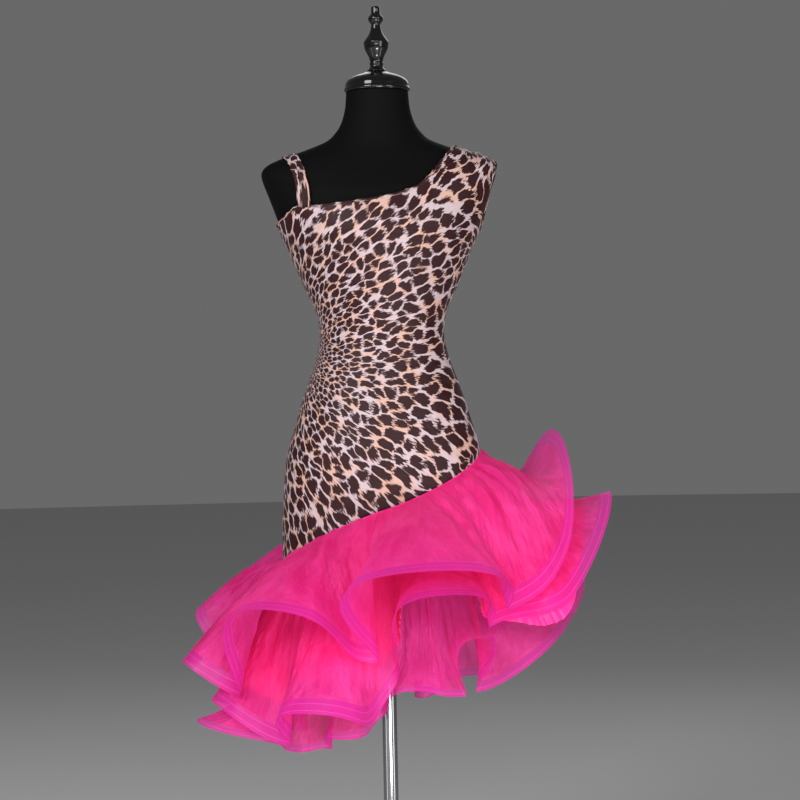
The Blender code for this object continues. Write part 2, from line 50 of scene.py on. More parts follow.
# columns: height, half width, depth to the front, depth to the back, squareness
BODY_SECTIONS = np.array((
    (0.480, 0.182, 0.124, 0.132, 2.2),
    (0.540, 0.178, 0.120, 0.128, 2.2),
    (0.600, 0.174, 0.116, 0.124, 2.2),
    (0.655, 0.1725, 0.114, 0.122, 2.2),
    (0.720, 0.1720, 0.113, 0.122, 2.2),
    (0.800, 0.1665, 0.112, 0.122, 2.2),
    (0.840, 0.1610, 0.110, 0.119, 2.2),
    (0.880, 0.1490, 0.106, 0.113, 2.2),
    (0.921, 0.1368, 0.100, 0.104, 2.2),
    (0.962, 0.1230, 0.094, 0.094, 2.2),
    (1.003, 0.1085, 0.089, 0.084, 2.2),
    (1.044, 0.1021, 0.088, 0.081, 2.2),
    (1.084, 0.1100, 0.093, 0.083, 2.2),
    (1.125, 0.1285, 0.104, 0.087, 2.2),
    (1.166, 0.1450, 0.117, 0.092, 2.2),
    (1.220, 0.1685, 0.124, 0.098, 2.2),
    (1.275, 0.1890, 0.109, 0.102, 2.25),
    (1.302, 0.1990, 0.096, 0.100, 2.3),
    (1.318, 0.2005, 0.087, 0.094, 2.3),
    (1.331, 0.1900, 0.080, 0.087, 2.2),
    (1.343, 0.1640, 0.074, 0.081, 2.1),
    (1.356, 0.1250, 0.068, 0.076, 2.0),
    (1.370, 0.0900, 0.064, 0.070, 2.0),
    (1.384, 0.0740, 0.061, 0.066, 2.0),
    (1.400, 0.0640, 0.058, 0.062, 2.0),
    (1.424, 0.0570, 0.056, 0.057, 2.0),
    (1.452, 0.0545, 0.0545, 0.0545, 2.0),
))
FORM_FOOT_ROW = 3         # the row where the form's flat foot lies
FORM_UNDERSIZE = 0.0018   # the form inside the body that the garment fits


def on_cubic(start, end, leaving, arriving, share):
    """Between two values, on the cubic curve that has these slopes at its ends."""
    return (start * (2 * share ** 3 - 3 * share ** 2 + 1) + end * (3 * share ** 2 - 2 * share ** 3)
            + leaving * (share ** 3 - 2 * share ** 2 + share) + arriving * (share ** 3 - share ** 2))


def section_at(row):
    """Height, half width, two depths and squareness between the table's rows, on a smooth curve."""
    last = len(BODY_SECTIONS) - 1
    row = np.clip(np.asarray(row, float), 0, last)
    first = np.minimum(row.astype(int), last - 1)
    share = (row - first)[..., None]
    before, low, high, after = (BODY_SECTIONS[np.clip(first + step, 0, last)] for step in (-1, 0, 1, 2))
    return np.moveaxis(on_cubic(low, high, (high - before) / 2, (after - low) / 2, share), -1, 0)


FINE_ROWS = np.linspace(0, len(BODY_SECTIONS) - 1, 4001)
FINE_HEIGHTS = section_at(FINE_ROWS)[0]


def row_at_height(height):
    return np.interp(height, FINE_HEIGHTS, FINE_ROWS)


def on_body(turn, row):
    """Points of the body's surface."""
    height, half_width, front, back, squareness = section_at(row)
    sine, cosine = np.sin(np.radians(turn)), np.cos(np.radians(turn))
    depth = np.where(cosine > 0, front, back)
    return np.stack((half_width * np.sign(sine) * np.abs(sine) ** (2 / squareness),
                     -depth * np.sign(cosine) * np.abs(cosine) ** (2 / squareness), height), axis=-1)


def unit(vectors):
    return vectors / np.maximum(np.linalg.norm(vectors, axis=-1, keepdims=True), 1e-9)


def off_body(turn, row, distance):
    """Points at a distance outside the body."""
    along = on_body(turn + 0.5, row) - on_body(turn - 0.5, row)
    up = on_body(turn, row + 0.05) - on_body(turn, row - 0.05)
    return on_body(turn, row) + unit(np.cross(along, up)) * np.asarray(distance)[..., None]


class Varying:
    """A number or colour that changes over a surface. Arithmetic on it adds Math nodes."""

    def __init__(self, finish, socket):
        self.finish, self.socket = finish, socket

    def math(self, operation, left, right=0.0):
        return self.finish.node("ShaderNodeMath", {"operation": operation}, {0: left, 1: right})

    def __add__(self, other):
        return self.math("ADD", self, other)

    def __sub__(self, other):
        return self.math("SUBTRACT", self, other)

    def __mul__(self, other):
        return self.math("MULTIPLY", self, other)

    __radd__ = __add__
    __rmul__ = __mul__

    def step(self, low, high):
        """0 below low, 1 above high, eased between them."""
        return self.finish.node("ShaderNodeMapRange", {"interpolation_type": "SMOOTHSTEP", "clamp": True},
                                {"Value": self, "From Min": low, "From Max": high})


class Finish:
    """A material round one Principled shader."""

    def __init__(self, name, **sockets):
        self.material = bpy.data.materials.new(name)
        self.material.use_nodes = True
        self.tree = self.material.node_tree
        self.shader = self.tree.nodes["Principled BSDF"]
        self.set(**sockets)

    def set(self, **sockets):
        for name, value in sockets.items():
            self.feed(self.shader.inputs[name.replace("_", " ").title().replace("Ior", "IOR")], value)

    def feed(self, socket, value):
        if isinstance(value, Varying):
            self.tree.links.new(value.socket, socket)
        elif socket.type == "RGBA" and len(value) == 3:
            socket.default_value = (*value, 1.0)
        else:
            socket.default_value = value

    def node(self, kind, settings=None, inputs=None, output=0):
        """Any node: its type, its settings, and the values or links of its sockets."""
        made = self.tree.nodes.new(kind)
        for name, value in (settings or {}).items():
            setattr(made, name, value)
        for name, value in (inputs or {}).items():
            self.feed(made.inputs[name], value)
        return Varying(self, made.outputs[output])

    def mix(self, share, low, high):
        """A colour between two colours."""
        return self.node("ShaderNodeMix", {"data_type": "RGBA"}, {0: share, 6: low, 7: high}, output=2)

    def place(self):
        return self.node("ShaderNodeTexCoord", output=3)

    def laid(self, name):
        """The coordinates that a piece's points carry under this name."""
        return self.node("ShaderNodeAttribute", {"attribute_name": name}, output=1)

    def stretched(self, vector, scale):
        """A vector scaled by a different number on each axis."""
        return self.node("ShaderNodeVectorMath", {"operation": "MULTIPLY"}, {0: vector, 1: scale})

    def moved(self, vector, by, scale):
        """A vector moved by a varying amount, with its own scale on each axis."""
        return self.node("ShaderNodeVectorMath", {"operation": "MULTIPLY_ADD"}, {0: by, 1: scale, 2: vector})

    def noise(self, vector, scale, detail=2.0, roughness=0.5, output=0):
        return self.node("ShaderNodeTexNoise", {}, {"Vector": vector, "Scale": scale, "Detail": detail,
                                                    "Roughness": roughness}, output)

    def ribs(self, vector, scale, direction="X", distortion=0.0, detail=2.0):
        """Even waves, for the ribs of a knit or the yarns of a weave."""
        return self.node("ShaderNodeTexWave", {"bands_direction": direction},
                         {"Vector": vector, "Scale": scale, "Distortion": distortion, "Detail": detail})

    def bump(self, height, strength, distance):
        self.set(normal=self.node("ShaderNodeBump", {}, {"Height": height, "Strength": strength,
                                                         "Distance": distance}))

    def let_light_through(self, color, share):
        """Makes a thin cloth glow, by mixing in light that scatters through to the other side."""
        through = self.node("ShaderNodeBsdfTranslucent", {}, {"Color": color})
        mixed = self.node("ShaderNodeMixShader", {}, {0: share})
        self.tree.links.new(self.shader.outputs[0], mixed.socket.node.inputs[1])
        self.tree.links.new(through.socket, mixed.socket.node.inputs[2])
        self.tree.links.new(mixed.socket, self.tree.nodes["Material Output"].inputs["Surface"])


def laid_grid(surface, across, along, columns, rows):
    """A grid laid on a surface, which maps two arrays of coordinates to points. Its UV map runs 0 to 1."""
    shape = bmesh.new()
    shape.loops.layers.uv.new("cut")
    bmesh.ops.create_grid(shape, x_segments=columns, y_segments=rows, size=0.5, calc_uvs=True)
    flat = np.array([vert.co for vert in shape.verts])
    u = across[0] + (across[1] - across[0]) * (flat[:, 0] + 0.5)
    v = along[0] + (along[1] - along[0]) * (flat[:, 1] + 0.5)
    for vert, place in zip(shape.verts, surface(u, v)):
        vert.co = place
    return shape


def show(name, shape, finish, nodes=()):
    """A piece made from a bmesh. It rides on the part's one body and stands for these CAD nodes."""
    mesh = bpy.data.meshes.new(name)
    shape.to_mesh(mesh)
    shape.free()
    mesh.shade_smooth()
    mesh.materials.append(finish.material)
    made = bpy.data.objects.new(name, mesh)
    bpy.context.scene.collection.objects.link(made)
    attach(made, "root")
    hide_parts(*nodes)
    return made


torso = laid_grid(lambda turn, row: off_body(turn, row, np.full_like(turn, -FORM_UNDERSIZE)),
                  (0, 360), (FORM_FOOT_ROW, len(BODY_SECTIONS) - 1), 180, 220)
bmesh.ops.remove_doubles(torso, verts=torso.verts, dist=1e-5)
bmesh.ops.holes_fill(torso, edges=[edge for edge in torso.edges if edge.is_boundary])

cover = Finish("black_jersey", base_color=(0.0026, 0.0026, 0.0028), roughness=0.7, sheen_weight=0.01,
               sheen_roughness=0.4, sheen_tint=(0.5, 0.5, 0.52), specular_ior_level=0.05)
knit = cover.ribs(cover.place(), 420.0, distortion=1.2, detail=1.0)
lint = cover.noise(cover.place(), 900.0, 3.0, 0.7)
cover.bump(knit * 0.5 + lint, 0.25, 0.0004)
cover.set(roughness=lint * 0.2 + 0.60)
show("torso", torso, cover, ["form_torso"])

# ================================================================ neck cap, finial and collar
# Turned wood under many coats of black lacquer: a cap over the neck with a rim, a finial screwed
# into it, and a collar that holds the pole under the torso.

NECK_TOP = BODY_SECTIONS[-1][0]
CAP_TOP = 1.4860
SEAM_GAP = 0.0003
# columns: radius, height
NECK_CAP = (
    (0.0, NECK_TOP + SEAM_GAP), (0.0545, NECK_TOP + SEAM_GAP), (0.0556, 1.4536), (0.0564, 1.4560),
    (0.0556, 1.4585), (0.0545, 1.4600), (0.0541, 1.4655), (0.0520, 1.4705), (0.0460, 1.4755),
    (0.0340, 1.4805), (0.0220, 1.4840), (0.0190, CAP_TOP), (0.0, CAP_TOP),
)
FINIAL = (
    (0.0, CAP_TOP + SEAM_GAP), (0.0165, CAP_TOP + SEAM_GAP), (0.0165, 1.4885), (0.0120, 1.4925),
    (0.0108, 1.4965), (0.0117, 1.4990), (0.0117, 1.5010), (0.0108, 1.5035), (0.0128, 1.5115),
    (0.0172, 1.5195), (0.0205, 1.5265), (0.0212, 1.5340), (0.0218, 1.5365), (0.0182, 1.5420),
    (0.0128, 1.5490), (0.0095, 1.5560), (0.0080, 1.5640), (0.0079, 1.5680), (0.0110, 1.5705),
    (0.0134, 1.5760), (0.0124, 1.5800), (0.0085, 1.5835), (0.0074, 1.5870), (0.0076, 1.5945),
    (0.0066, 1.5980), (0.0, 1.5985),
)
POLE_RADIUS = 0.0125
POLE_TOP = BODY_SECTIONS[FORM_FOOT_ROW][0] - SEAM_GAP


def turned(profile, steps=96, softening=2):
    """A shape turned on the axis from its (radius, height) profile, with its corners softened."""
    shape = bmesh.new()
    places = np.array(profile)
    for _ in range(softening):
        quarter = places[:-1] * 0.75 + places[1:] * 0.25
        three_quarters = places[:-1] * 0.25 + places[1:] * 0.75
        cut = np.stack((quarter, three_quarters), axis=1).reshape(-1, 2)
        places = np.concatenate((places[:1], cut, places[-1:]))
    verts = [shape.verts.new((radius, 0, height)) for radius, height in places]
    edges = [shape.edges.new(pair) for pair in zip(verts, verts[1:])]
    bmesh.ops.spin(shape, geom=verts + edges, axis=(0, 0, 1), cent=(0, 0, 0), angle=math.tau,
                   steps=steps, use_merge=True)
    bmesh.ops.remove_doubles(shape, verts=shape.verts, dist=1e-6)
    bmesh.ops.recalc_face_normals(shape, faces=shape.faces)
    return shape


lacquer = Finish("black_lacquer", base_color=(0.004, 0.004, 0.0045), roughness=0.12,
                 specular_ior_level=0.3, coat_weight=0.3, coat_roughness=0.04)
orange_peel = lacquer.noise(lacquer.place(), 160.0, 2.0)
handled = lacquer.noise(lacquer.place(), 38.0, 4.0, 0.6)
lacquer.bump(orange_peel, 0.12, 0.0004)
lacquer.set(roughness=handled.step(0.35, 0.8) * 0.14 + 0.08)
show("cap", turned(NECK_CAP), lacquer, ["neck_cap"])
show("finial", turned(FINIAL), lacquer, ["neck_finial"])
COLLAR_BORE = POLE_RADIUS + SEAM_GAP
COLLAR = ((COLLAR_BORE, POLE_TOP - 0.040), (0.024, POLE_TOP - 0.040), (0.027, POLE_TOP - 0.036),
          (0.027, POLE_TOP - 0.004), (0.030, POLE_TOP), (COLLAR_BORE, POLE_TOP),
          (COLLAR_BORE, POLE_TOP - 0.040))
show("collar", turned(COLLAR, softening=0), lacquer, ["stand_collar"])

# ================================================================ pole and base
# A drawn steel tube, polished and chromed, screwed into the boss of a spun chrome base plate.

BASE_RADIUS = 0.200
BASE_THICKNESS = 0.012
BOSS_RADIUS = 0.026
BOSS_TOP = 0.030

chrome = Finish("polished_chrome", base_color=(0.27, 0.27, 0.28), metallic=1.0, roughness=0.06)
wiped = chrome.noise(chrome.stretched(chrome.place(), (60.0, 60.0, 6.0)), 1.0, 5.0, 0.65)
chrome.set(roughness=wiped.step(0.45, 0.85) * 0.12 + 0.045)
chrome.bump(chrome.noise(chrome.stretched(chrome.place(), (900.0, 900.0, 12.0)), 1.0, 2.0), 0.03, 0.0002)
POLE_FOOT = BOSS_TOP + SEAM_GAP
POLE = ((0.0, POLE_FOOT), (POLE_RADIUS, POLE_FOOT), (POLE_RADIUS, POLE_TOP), (0.0, POLE_TOP))
BASE = ((0.0, 0.0), (BASE_RADIUS - 0.003, 0.0), (BASE_RADIUS, 0.003), (BASE_RADIUS, BASE_THICKNESS - 0.004),
        (BASE_RADIUS - 0.005, BASE_THICKNESS), (0.060, BASE_THICKNESS + 0.003),
        (BOSS_RADIUS + 0.006, BASE_THICKNESS + 0.006), (BOSS_RADIUS, BASE_THICKNESS + 0.012),
        (BOSS_RADIUS - 0.004, BOSS_TOP), (0.0, BOSS_TOP))
pole = show("pole", turned(POLE, 64, 0), chrome, ["stand_pole"])
pole.data.set_sharp_from_angle(angle=math.radians(40))
base = show("base", turned(BASE, 128, 0), chrome, ["stand_base"])
base.data.set_sharp_from_angle(angle=math.radians(40))

# ================================================================ bodice
# Two panels of printed stretch satin, sewn at the side seams and the one shoulder. The print runs
# in hairs that fan out of points on the side seams, with small spots near them and large ones between.

CLOTH = 0.0012            # wall of the CAD's cloth
SATIN_WALL = 0.0009       # wall of the satin that shows
CLEARANCE = 0.0026        # between the body and the inside of a panel
SEAM_MIDDLE = 0.7475      # height of the slanted seam at the middle of the front and back
SEAM_RISE = 0.0945        # from there to its high side
SEAM_ROUNDING = 0.965     # below 1, the seam turns gently at its high and low sides
# columns: x, height
FRONT_NECKLINE = (
    (-0.1715, 1.2255), (-0.150, 1.2430), (-0.134, 1.2527), (-0.108, 1.2510), (-0.057, 1.2550),
    (0.003, 1.2625), (0.040, 1.2710), (0.071, 1.2850), (0.097, 1.3105), (0.119, 1.3400), (0.1315, 1.3540),
)
BACK_NECKLINE = (
    (-0.1715, 1.2255), (-0.150, 1.2230), (-0.120, 1.2200), (-0.080, 1.2160), (-0.030, 1.2150),
    (0.020, 1.2200), (0.060, 1.2400), (0.090, 1.2750), (0.110, 1.3100), (0.122, 1.3380), (0.1315, 1.3540),
)
ARMHOLE_FOOT = 1.2085
ARMHOLE_TOP = 1.3290
ARMHOLE_BAY = 19.0        # degrees that it cuts into the panel
LEVEL_BAND = (0.862, 1.192)       # heights between which a panel's rows run level
LEVEL_SHARES = (0.2, 0.7)         # shares of the panel's rows at those heights


def row_at_half_width(half_width):
    """The row on the shoulder, above the widest section, with this half width."""
    widest = int(np.argmax(BODY_SECTIONS[:, 1]))
    rows = np.linspace(widest, len(BODY_SECTIONS) - 1, 2001)
    return np.interp(-np.asarray(half_width), -section_at(rows)[1], rows)


def turn_at_x(x, row):
    """The turn, on the front half, where the surface has this x."""
    _, half_width, _, _, squareness = section_at(row)
    share = np.clip(x / half_width, -1.0, 1.0)
    return np.degrees(np.arcsin(np.sign(share) * np.abs(share) ** (squareness / 2)))


def seam_height(turn):
    """Height of the slanted seam between bodice and skirt."""
    return SEAM_MIDDLE + SEAM_RISE * (np.arcsin(SEAM_ROUNDING * np.sin(np.radians(turn)))
                                      / math.asin(SEAM_ROUNDING))


def smooth_through(table, x):
    """Values on a smooth curve through the table's rows of (x, value)."""
    xs, values = np.array(table).T
    slopes = np.gradient(values, xs)
    place = np.clip(np.searchsorted(xs, x) - 1, 0, len(xs) - 2)
    width = xs[place + 1] - xs[place]
    share = np.clip((x - xs[place]) / width, 0.0, 1.0)
    return on_cubic(values[place], values[place + 1], slopes[place] * width, slopes[place + 1] * width, share)


def ease(share):
    return share ** 2 * (3 - 2 * share)


def panel_surface(table, facing):
    """The surface of a panel: u from one side seam to the other, v from slanted seam to neckline."""
    xs = np.linspace(table[0][0], table[-1][0], 241)
    neck_rows = row_at_height(smooth_through(table, xs))
    neck_turns = turn_at_x(xs, neck_rows)
    neck_turns[0], neck_turns[-1] = -90.0, 90.0
    neck_rows[-1] = row_at_half_width(xs[-1])
    armhole = row_at_height(ARMHOLE_FOOT), row_at_height(ARMHOLE_TOP)
    level = [row_at_height(height) for height in LEVEL_BAND]

    def points(u, v, distance=CLEARANCE + CLOTH / 2):
        nominal = -90.0 + 180.0 * u
        foot, top = row_at_height(seam_height(nominal)), np.interp(nominal, neck_turns, neck_rows)
        low, high = LEVEL_SHARES
        row = np.where(v < low, foot + (level[0] - foot) * v / low,
                       np.where(v < high, level[0] + (level[1] - level[0]) * (v - low) / (high - low),
                                level[1] + (top - level[1]) * (v - high) / (1 - high)))
        share = np.clip((row - armhole[0]) / (armhole[1] - armhole[0]), 0.0, 1.0)
        beside = np.clip((u - 0.6) / 0.4, 0.0, 1.0)
        turn = nominal - ARMHOLE_BAY * np.sin(np.pi * share) ** 0.75 * ease(beside)
        if facing == "back":
            turn = 180.0 - turn
        return off_body(turn, row, np.broadcast_to(distance, u.shape))

    return points


# Where the hairs of the print start (+) or end (-), on a panel seen from its own outside.
# columns: side of the panel (0 is its middle), height, strength
FRONT_WHORLS = ((-1, 1.005, 3.2), (-1, 0.620, -1.8), (1, 1.170, -1.1), (1, 0.760, -1.9), (-1, 1.260, -1.1),
                (1, 1.375, -2.3), (0, 1.420, -1.6), (0, 0.500, -2.4))
BACK_WHORLS = ((1, 1.020, 3.2), (1, 0.620, -1.8), (-1, 1.180, -0.6), (-1, 0.810, -1.2), (1, 1.290, -1.1),
               (-1, 1.375, -2.3), (0, 1.400, -1.3), (0, 0.500, -2.4))
WHORL_OUT = 0.008         # how far out of the panel it lies
SPOT = 0.34               # size of a spot in the print's own coordinates
PRINT_DRIFT = 1.5         # steady run of the hairs, per metre


def print_place(flat, whorls, edge):
    """Coordinates along and across the hairs of the print at flat places on a panel."""
    place = flat[:, 0] + 1j * flat[:, 1]
    run = PRINT_DRIFT * place
    for side, height, strength in whorls:
        start = side * (np.interp(height, edge[:, 1], np.abs(edge[:, 0])) + WHORL_OUT) + 1j * height
        run = run + strength * np.log(place - start if side < 0 else start - place)
    return np.stack((run.real, run.imag, np.zeros(len(flat))), axis=-1)


def printed_panel(facing, table, whorls, columns=150, rows=200):
    """One panel, with the print's coordinates on its points. Its columns run level, side to side."""
    points = panel_surface(table, facing)
    mirrored = facing == "back"
    shape = laid_grid(lambda u, v: points(1 - u if mirrored else u, v), (0, 1), (0, 1), columns, rows)
    shape.verts.ensure_lookup_table()
    places = np.array([vert.co for vert in shape.verts])
    grid = places.reshape(rows + 1, columns + 1, 3)
    steps = np.linalg.norm(np.diff(grid, axis=1), axis=-1)
    across = np.concatenate((np.zeros((rows + 1, 1)), np.cumsum(steps, axis=1)), axis=1)
    across = across - across[:, columns // 2][:, None]
    flat = np.stack((across, grid[..., 2]), axis=-1).reshape(-1, 2)
    left = np.stack((across[:, 0], grid[:, 0, 2]), axis=-1)
    layer = shape.verts.layers.float_vector.new("print")
    for vert, value in zip(shape.verts, print_place(flat, whorls, left)):
        vert[layer] = value
    return shape, steps.sum(axis=1).max(), grid[..., 2].max() - grid[..., 2].min()


leopard = Finish("leopard_satin", roughness=0.42, sheen_weight=0.06, sheen_roughness=0.35,
                 sheen_tint=(1.0, 0.9, 0.88), specular_ior_level=0.12)
hairs = leopard.laid("print")
wandering = leopard.moved(hairs, leopard.noise(hairs, 1.6, output=1), (0.55, 0.42, 0.0))
# Spots are longer along the hairs than across them. Hairs of both colours cross their ends in tufts.
feather = leopard.noise(leopard.stretched(hairs, (2.2, 24.0, 0.0)), 1.0, 2.0, 0.6)
fine_feather = leopard.noise(leopard.stretched(hairs, (5.0, 62.0, 0.0)), 1.0, 2.0, 0.6)
cells = leopard.stretched(wandering, (0.60 / SPOT, 1.0 / SPOT, 0.0))
cells = leopard.moved(cells, feather + fine_feather * 0.16 - 0.58, (0.95, 0.06, 0.0))
# A spot fills its cell but for a strip along the cell's sides, which widens towards its corners.
near, next_near = (leopard.node("ShaderNodeTexVoronoi", {"feature": feature, "voronoi_dimensions": "2D"},
                                {"Vector": cells, "Scale": 1.0, "Randomness": 0.95})
                   for feature in ("F1", "F2"))
breadth = leopard.noise(hairs, 1.7, 2.0)
gap = -0.030 + (breadth - 0.5) * 0.26 + (fine_feather - 0.5) * 0.14
spot = (next_near - near * 1.35 - gap).step(-0.020, 0.030)
warm = leopard.noise(leopard.stretched(hairs, (0.9, 1.7, 0.0)), 1.0, 2.0).step(0.43, 0.60)
streaks = leopard.noise(leopard.stretched(hairs, (3.0, 60.0, 0.0)), 1.0, 2.0)
ground = leopard.mix(warm, (0.42, 0.325, 0.345), (0.47, 0.265, 0.190))
ground = leopard.mix(streaks.step(0.35, 0.75) * 0.55, ground, (0.52, 0.43, 0.455))
dark = leopard.mix(streaks.step(0.4, 0.8), (0.020, 0.005, 0.006), (0.042, 0.015, 0.017))
leopard.set(base_color=leopard.mix(spot, ground, dark))
knit_ribs = leopard.ribs(leopard.place(), 520.0, distortion=0.8)
leopard.bump(knit_ribs * 0.35 + leopard.noise(leopard.place(), 1200.0, 2.0, 0.7) * 0.6, 0.22, 0.0003)
leopard.set(roughness=0.40 + streaks * 0.12)


def uneven_wave(place, cycles, phase=0.0):
    """Between -1 and 1, a wave whose crests differ in size and spacing."""
    angle = math.tau * cycles * place
    return (0.55 * np.sin(angle + phase + 1.3 * np.sin(0.23 * angle + phase))
            + 0.30 * np.sin(1.618 * angle + 2.1 * phase + 1.0)
            + 0.15 * np.sin(2.73 * angle + 3.7 * phase + 2.0))


def with_print(shape, length, breadth, start):
    """A shape cut as a strip of the print: its size and start in the print's own coordinates."""
    layer = shape.verts.layers.float_vector.new("print")
    cut = shape.loops.layers.uv["cut"]
    for face in shape.faces:
        for loop in face.loops:
            across, along = loop[cut].uv
            loop.vert[layer] = (along * length, across * breadth + start, 0.0)
    return shape


def give_wall(panel):
    """The thickness of the satin, which shows at its open edges."""
    wall = panel.modifiers.new("cloth", "SOLIDIFY")
    wall.thickness, wall.offset = SATIN_WALL, 0.0


ROLL = 0.0019             # radius of the satin rolled over elastic at an open edge
ROLL_WIDTH, ROLL_HEIGHT = 1.25, 0.8      # its flattened section, in that radius
ROLL_LIFT = 0.0002        # its middle above the middle of the panel
ROLL_PUCKER = 0.0045      # from one pucker of it to the next
ROLL_STEPS = 5            # steps of the mesh along a pucker
ROLL_SWELL = 0.22         # how much a pucker swells it
ROLL_STRAY, ROLL_JOG = 0.0007, 0.0004    # how far it strays sideways, slowly and with each pucker
ROLL_PRINT = 14.0         # length of a metre of it in the print's own coordinates


def rolled_edge(name, path, away):
    """A puckered roll along a path, whose normals off the body are away."""
    steps = np.concatenate(([0.0], np.cumsum(np.linalg.norm(np.diff(path, axis=0), axis=-1))))
    count = int(steps[-1] / ROLL_PUCKER * ROLL_STEPS)
    run = np.linspace(0.0, steps[-1], count + 1)
    centre, out = (np.stack([np.interp(run, steps, values[:, axis]) for axis in range(3)], axis=-1)
                   for values in (path, away))
    across = unit(np.cross(np.gradient(centre, axis=0), out))

    def tube(turn, place):
        index = np.rint(place).astype(int)
        angle = np.radians(turn)
        wave = uneven_wave(run[index] / ROLL_PUCKER, 1.0, 0.6)
        radius = ROLL * (1 + ROLL_SWELL * wave)
        shift = ROLL_STRAY * uneven_wave(run[index] / ROLL_PUCKER, 0.31, 2.0) + ROLL_JOG * wave
        return (centre[index] + across[index] * (radius * np.cos(angle) * ROLL_WIDTH + shift)[:, None]
                + out[index] * (radius * np.sin(angle) * ROLL_HEIGHT)[:, None])

    shape = with_print(laid_grid(tube, (0, 360), (0, count), 12, count),
                       length=steps[-1] * ROLL_PRINT, breadth=0.6, start=9.0)
    bmesh.ops.remove_doubles(shape, verts=shape.verts, dist=1e-6)
    return show(name, shape, leopard)


ARMHOLE_START = 0.72      # the armhole takes the panel's side edge above this share of it
PANEL_FILL = 0.72         # share of its flat rectangle that a panel covers

for facing, table, whorls in (("front", FRONT_NECKLINE, FRONT_WHORLS),
                              ("back", BACK_NECKLINE, BACK_WHORLS)):
    shape, width, length = printed_panel(facing, table, whorls)
    panel = show(facing + "_bodice", shape, leopard, [facing + "_panel"])
    give_wall(panel)
    points = panel_surface(table, facing)
    for edge, u, v in (("neckline", np.linspace(0, 1, 400), np.ones(400)),
                       ("armhole", np.ones(200), np.linspace(ARMHOLE_START, 1, 200))):
        path = points(u, v, CLEARANCE + CLOTH / 2 + ROLL_LIFT)
        rolled_edge(f"{facing}_{edge}_roll", path, unit(path - points(u, v, 0.0)))
    round(PANEL_FILL * width * length, 4)

# A narrow strap of the same satin from the front neckline over the other shoulder to the back one,
# gathered on elastic along both edges.

STRAP_WIDTH = 0.021
STRAP_FRONT_X, STRAP_RIDGE_X, STRAP_BACK_X = -0.1215, -0.1530, -0.1250
STRAP_SEAT = -0.0012      # where it bears on the shoulder
STRAP_TUCK = 0.002        # how far its ends run past the necklines
STRAP_PUCKERS, STRAP_PUCKER_DEPTH = 46, 0.0007
STRAP_EDGE_LIFT = 0.0006


def strap_surface(u, v):
    """Over the shoulder: u across the strap, v from the front neckline to the back one."""
    across = (u - 0.5) * STRAP_WIDTH
    run = 2.0 * v - 1.0
    front = run < 0
    ridge_row = row_at_half_width(-(STRAP_RIDGE_X + across))
    end_x = np.where(front, STRAP_FRONT_X, STRAP_BACK_X)
    end_height = np.where(front, smooth_through(FRONT_NECKLINE, STRAP_FRONT_X + across),
                          smooth_through(BACK_NECKLINE, STRAP_BACK_X + across))
    row = ridge_row - (ridge_row - row_at_height(end_height - STRAP_TUCK)) * run ** 2
    x = STRAP_RIDGE_X + across + (end_x - STRAP_RIDGE_X) * np.abs(run) ** 1.5
    turn = turn_at_x(x, row)
    seat = STRAP_SEAT + (CLEARANCE + CLOTH - STRAP_SEAT) * run ** 2 + CLOTH
    side = np.abs(2 * u - 1) ** 3
    pucker = STRAP_PUCKER_DEPTH * uneven_wave(v, STRAP_PUCKERS, np.where(u < 0.5, 0.0, 2.0))
    return off_body(np.where(front, turn, 180.0 - turn), row, seat + side * (pucker + STRAP_EDGE_LIFT))


strap_shape = with_print(laid_grid(strap_surface, (0, 1), (0, 1), 14, 260),
                         length=6.2, breadth=0.55, start=4.0)
strap = show("shoulder_strap_satin", strap_shape, leopard, ["shoulder_strap"])
give_wall(strap)

# ================================================================ skirt base and flounces
# A satin band on the body under the slanted seam carries three circular-cut organza flounces and a
# satin one inside the middle tier. Organza is sewn on flat at its inner edge and falls into flutes;
# the hems are held open by nylon horsehair braid.

FLOUNCE_SEAT = CLEARANCE + CLOTH + SEAM_GAP + CLOTH / 2    # middle of a flounce's wall, off the body
SKIRT_BASE_DROP = 0.115   # depth of the satin band
BRAID_SHARE = 0.085       # share of a flounce's depth that its braid takes
SEAM_STRAY = 0.0024       # how far the sewn edge rides up here and there
GATHER_DEPTH = 0.0028     # under the seam
BROAD_WAVE, BROKEN_WAVE, FINE_WAVE = 0.0042, 0.0022, 0.0010    # depths of the slack in the cloth
SEWN_SHARE = 0.004        # the cloth lies flat this far from the seam, as a share of its depth
# hem columns: turn round the body, reach from the axis, height, swing before the bend and after it,
# climb along the hem, arch of the cloth above the straight line from seam to hem
UPPER_HEM = np.array((
    (-80, 0.350, 0.498, 0.085, 0.085, 0.0, 0.02), (-63, 0.278, 0.445, 0.060, 0.060, 0.0, 0.03),
    (-36, 0.335, 0.600, 0.170, 0.180, 0.0, 0.03), (-5, 0.232, 0.508, 0.075, 0.045, 0.0, 0.03),
    (13, 0.365, 0.662, 0.310, 0.200, 0.0, 0.03), (39, 0.318, 0.590, 0.045, 0.055, 0.3, 0.03),
    (62, 0.335, 0.672, 0.085, 0.085, 0.9, 0.03), (104, 0.300, 0.872, 0.105, 0.105, 0.0, -0.05),
    (125, 0.245, 0.735, 0.035, 0.035, -0.2, 0.01), (143, 0.335, 0.775, 0.130, 0.130, 0.0, 0.03),
    (161, 0.240, 0.640, 0.060, 0.060, 0.0, 0.03), (180, 0.350, 0.705, 0.160, 0.160, 0.0, 0.03),
    (198, 0.245, 0.580, 0.060, 0.060, 0.0, 0.03), (217, 0.350, 0.640, 0.160, 0.160, 0.0, 0.03),
    (234, 0.245, 0.520, 0.055, 0.055, 0.0, 0.03), (250, 0.345, 0.575, 0.110, 0.110, 0.0, 0.03),
    (265, 0.270, 0.470, 0.040, 0.040, 0.0, 0.03),
))
